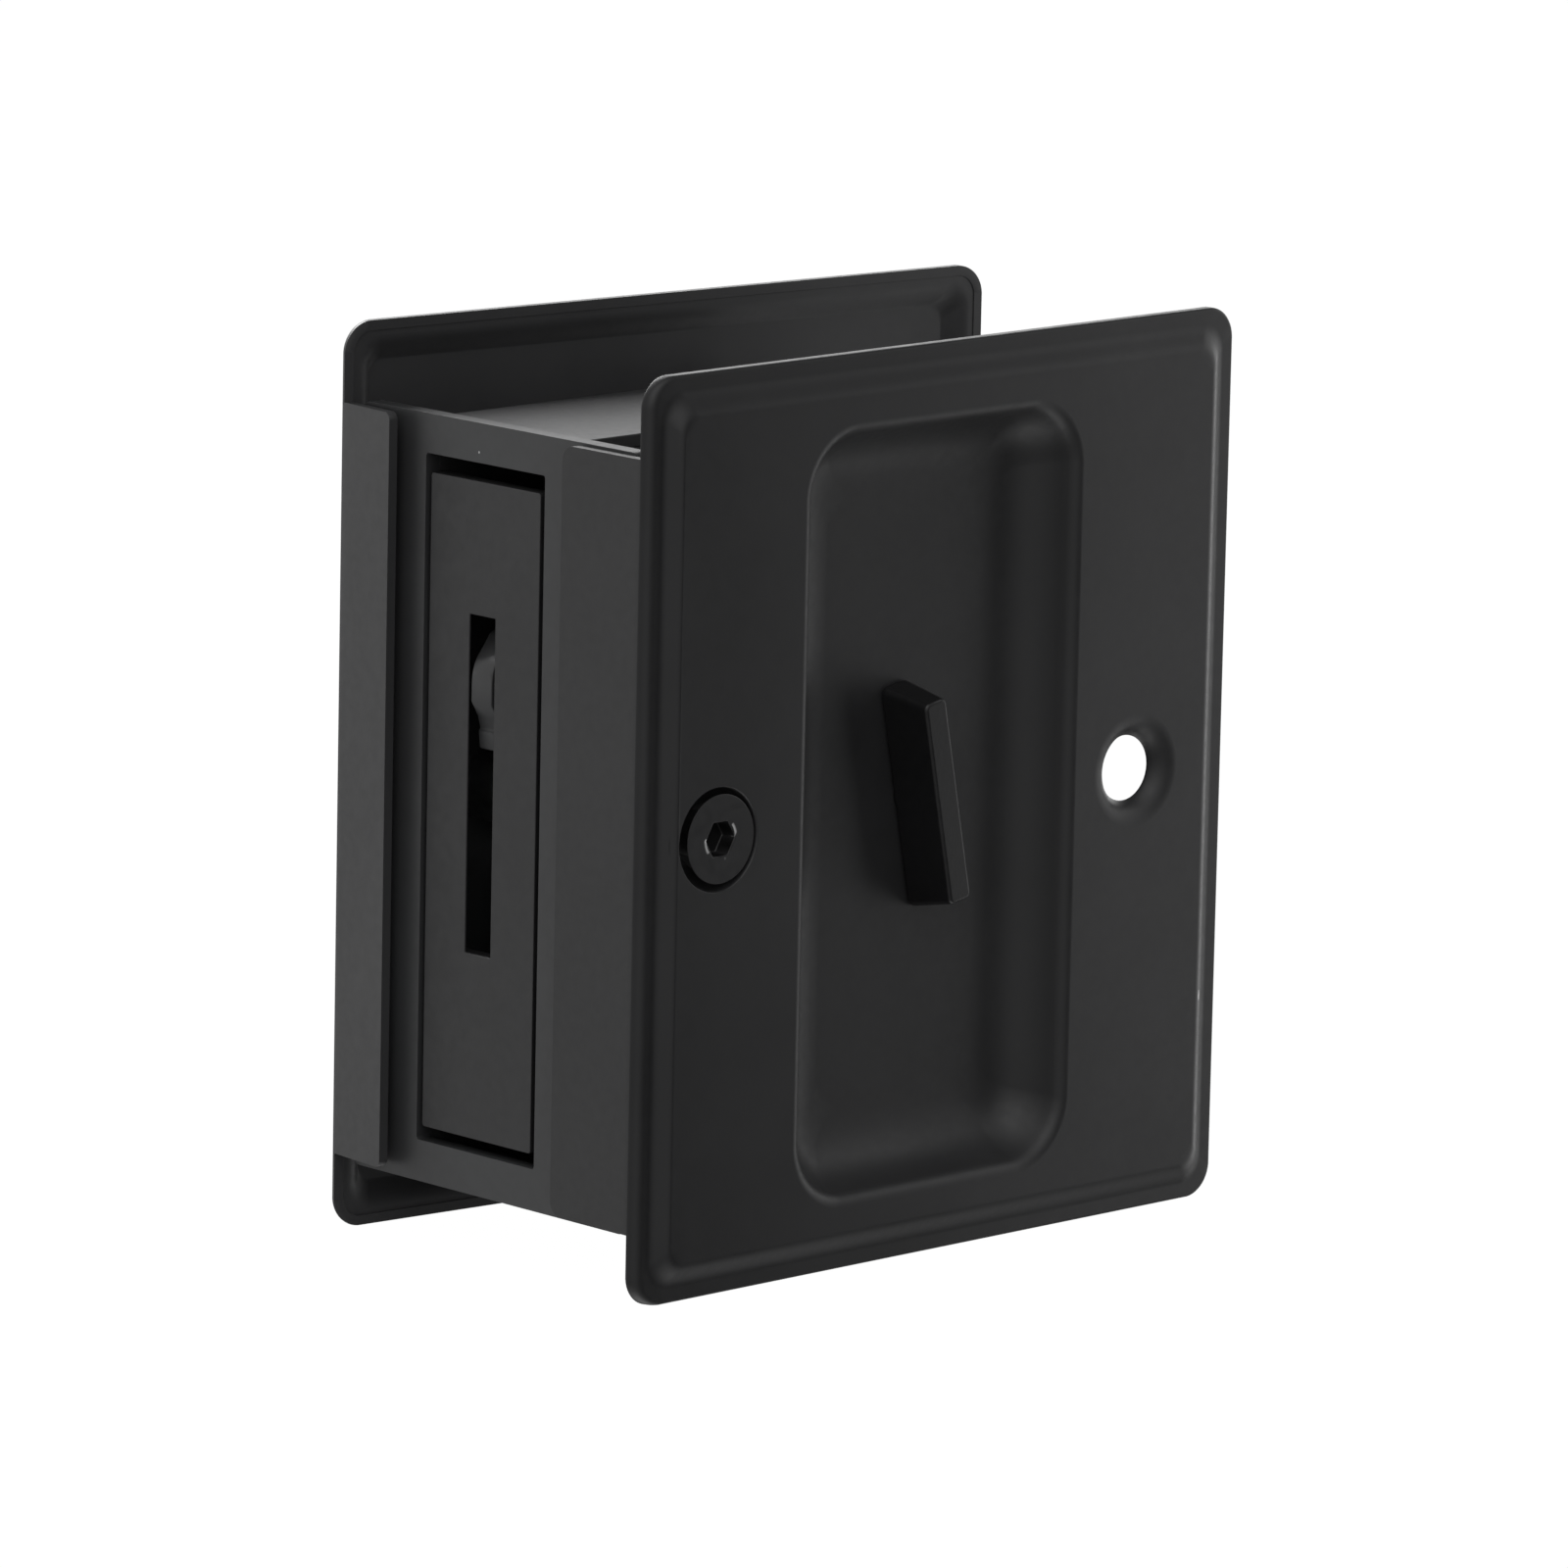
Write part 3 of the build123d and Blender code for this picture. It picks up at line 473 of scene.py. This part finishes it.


# Back cover: the same pressed steel sheet for the door's other face, with no cup but a round hole
# for the release tip. Only its left screw holds it, so it leans out by 6 degrees.

# Its powder coat: the same even satin black with the same 0.35 mm skin, made a shade lighter here as
# painted light for the stronger light that falls on the back cover.
back_coat_painted_lighter = coat(
    "powder_coat_back_cover_painted_lighter", "#333334", "#383839",
    rough_low=0.40, rough_high=0.47, peel_mm=0.35, peel_height=0.000012,
)
lean = math.radians(6.0)
lean_cos, lean_sin = math.cos(lean), math.sin(lean)
back_plane = 0.0386
release_hole = (turn_x, 4.8)
back_tab = {"centre": 0.075, "height": 68.4, "depth": 6.9, "corner": 0.7}
back_cover = add_piece(
    "back_cover_pressing",
    pressed_cover([(8.2, screw_seat), (60.3, open_seat)], release_hole, None, back_tab),
    back_coat_painted_lighter, "other_cover", ["back_cover"],
    Matrix((
        (lean_cos, 0, lean_sin, half_width * lean_cos),
        (-lean_sin, 0, lean_cos, back_plane - half_width * lean_sin),
        (0, -1, 0, half_height),
        (0, 0, 0, 1),
    )),
)
sheet_thickness(back_cover)


# Case: a face strip, a wall folded round top, rear and bottom, and two side plates, all blanked
# from sheet steel and riveted to a box. Tumbling takes off their sharp edges, so each keeps its
# outline and gets a broken edge that catches the light.
weld = 0.000002
flat_angle = 1.5
hard_angle = 38


def stamping(name, edge_mm, material, body, dress=None):
    bm = bmesh.new()
    bm.from_mesh(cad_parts[name].data)
    bmesh.ops.remove_doubles(bm, verts=bm.verts, dist=weld)
    bmesh.ops.dissolve_limit(bm, angle_limit=math.radians(flat_angle), verts=bm.verts, edges=bm.edges)
    bmesh.ops.transform(bm, matrix=Matrix.Scale(1 / MM, 4), verts=bm.verts)
    joined = [e for e in bm.edges if len(e.link_faces) == 2]
    hard = [e for e in joined if e.calc_face_angle(0) > math.radians(hard_angle)]
    bmesh.ops.bevel(
        bm, geom=hard, offset=edge_mm, segments=2, profile=0.5, affect="EDGES", material=-1,
        clamp_overlap=True,
    )
    if dress:
        for v in bm.verts:
            v.co = dress(v.co)
    piece = add_piece(name + "_finished", bm, material, body, [name])
    return crisp(piece, 30)


# The case's powder coat: the front cover's satin black with the same 0.35 mm skin, made a shade
# lighter as painted light for the stronger light on the case. One pale speck shows near the top of the face
# strip.
case_coat_painted_lighter = coat(
    "powder_coat_case_painted_lighter", "#343435", "#393a3b",
    rough_low=0.40, rough_high=0.47, peel_mm=0.35, peel_height=0.000012,
)
chip_and_shade(case_coat_painted_lighter, (0.9, 22.0, 73.0), (1.0, 0.1, 0.12), "#c4c4c4")
case_edge = 0.15
for name in ("face_plate", "case_wall", "case_side_front", "case_side_back"):
    stamping(name, case_edge, case_coat_painted_lighter, "lock")


# Edge pull: a blanked and folded steel plate that fills the window and turns on a pin at its foot.
# The wall of its slot away from the turn's side is set back, and further back still at its rear
# edge, so that the slot looks as wide as it does in the photograph.
slot_wall = (22.7, 23.05)
slot_ends = (27.0, 59.5)
plate_rear = 3.2
plate_middle = 2.2
wall_back = 0.3
rear_edge_back = 1.7


def slot_side(point):
    on_wall = slot_wall[0] < point.y < slot_wall[1] and point.x < plate_rear
    if not on_wall or not slot_ends[0] < point.z < slot_ends[1]:
        return point
    move = wall_back if point.x < plate_middle else rear_edge_back
    return Vector((point.x, point.y + move, point.z))


stamping("edge_pull", case_edge, powder_coat, "pull", slot_side)


# Hook bolt: a thick steel plate blanked to a hook, coated as the case is, and turned by a toothed
# sector. At rest only its nose shows, in the pull's slot, and there it is dressed a little fuller.
nose_low = 40.0
nose_start = 7.0
nose_run = 3.0
nose_out = 0.6
nose_fuller = 0.3
hook_middle = 22.2


def hook_nose(point):
    near = max(0.0, min(1.0, (nose_start - point.x) / nose_run)) if point.z > nose_low else 0.0
    fuller = nose_fuller * near if point.y > hook_middle else 0.0
    return Vector((point.x - nose_out * near, point.y + fuller, point.z))


stamping("hook_bolt", case_edge, case_coat_painted_lighter, "bolt", hook_nose)


# Case rivets: shouldered steel rivets, headed over outside the two side plates, which hold the
# box together. They are coated with the case.
stamping("case_rivets", 0.12, case_coat_painted_lighter, "lock")


# Thumb turn and release tip: small castings on the square bar through the lock, held behind the cup
# by a collar and washer. The turn's blade stands in the cup, and the slotted tip in the other cover
# takes a coin.

# Satin black dip on a casting: to the eye the darkest and smoothest of the blacks, with a skin that
# is wavy over 0.5 mm.
turn_coat = coat(
    "satin_black_casting", "#131314", "#171718",
    rough_low=0.30, rough_high=0.40, peel_mm=0.5, peel_height=0.00002,
)
stamping("turn_blade", 0.3, turn_coat, "turn")
stamping("release_tip", 0.2, turn_coat, "turn")


# Cover screws: machined steel with flat countersunk heads and a hex socket, one in each cover, both
# threaded into the sleeve that runs through the case.

# Black oxide on steel is thin, so the eye gets a dark grey with a slight gleam and the metal's own
# fine 0.25 mm skin. The socket is painted near black inside as painted shade for its depth, and the key has
# worn its rim bright.
oxide = coat(
    "black_oxide_steel", "#222223", "#262627",
    rough_low=0.34, rough_high=0.46, peel_mm=0.25, peel_height=0.00001,
)
socket_place = (8.5, -2.1, 41.275)
# Painted shade: the inside of the hex socket is coloured near black for the shade in its depth.
chip_and_shade(oxide, socket_place, (1.66, 9.0, 1.66), "#050505")
chip_and_shade(oxide, socket_place, (2.0, 9.0, 2.0), "#f2f2f2", metallic=1.0, patchy=0.56, hollow=0.84)
screw_edge = 0.12
stamping("cover_screw_front", screw_edge, oxide, "lock")
stamping("cover_screw_back", screw_edge, oxide, "lock")


# Works inside the case: sleeve, pins, spacers, toothed hub and sector, spindle and springs, turned
# or blanked from steel, zinc plated and left bright. They show mostly when the pull is open.

# Zinc plate gives the eye a pale grey metal, clouded over 1.4 mm between brighter and duller.
spangles_per_metre = 700.0
zinc = bpy.data.materials.new("zinc_plated_steel")
zinc.use_nodes = True
zinc_tree = zinc.node_tree
plate = zinc_tree.nodes["Principled BSDF"]
plate.inputs["Metallic"].default_value = 1.0
where = node(zinc_tree, "ShaderNodeTexCoord").outputs["Object"]
spangle = node(zinc_tree, "ShaderNodeTexNoise", {"Vector": where}, Scale=spangles_per_metre, Detail=3.0)
shade = node(zinc_tree, "ShaderNodeMix", {"Factor": spangle.outputs["Fac"]}, data_type="RGBA")
shade.inputs[COLOUR_A].default_value = linear("#8a8c8e")
shade.inputs[COLOUR_B].default_value = linear("#aaacad")
zinc_tree.links.new(shade.outputs[COLOUR_OUT], plate.inputs["Base Color"])
dull = node(zinc_tree, "ShaderNodeMapRange", {"Value": spangle.outputs["Fac"]}, To_Min=0.28, To_Max=0.5)
zinc_tree.links.new(dull.outputs[0], plate.inputs["Roughness"])
works_edge = 0.1
for name, body in (
    ("sleeve", "lock"), ("bolt_pivot", "lock"), ("pivot_spacers", "lock"), ("pull_pin", "lock"),
    ("bolt_sector", "bolt"), ("sector_rivets", "bolt"), ("hub", "hub"), ("turn_collar", "turn"),
    ("turn_washer", "turn"), ("spindle", "turn"),
):
    stamping(name, works_edge, zinc, body)
for name in ("pull_spring", "detent_spring"):
    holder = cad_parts[name]
    holder.data.materials.clear()
    holder.data.materials.append(zinc)
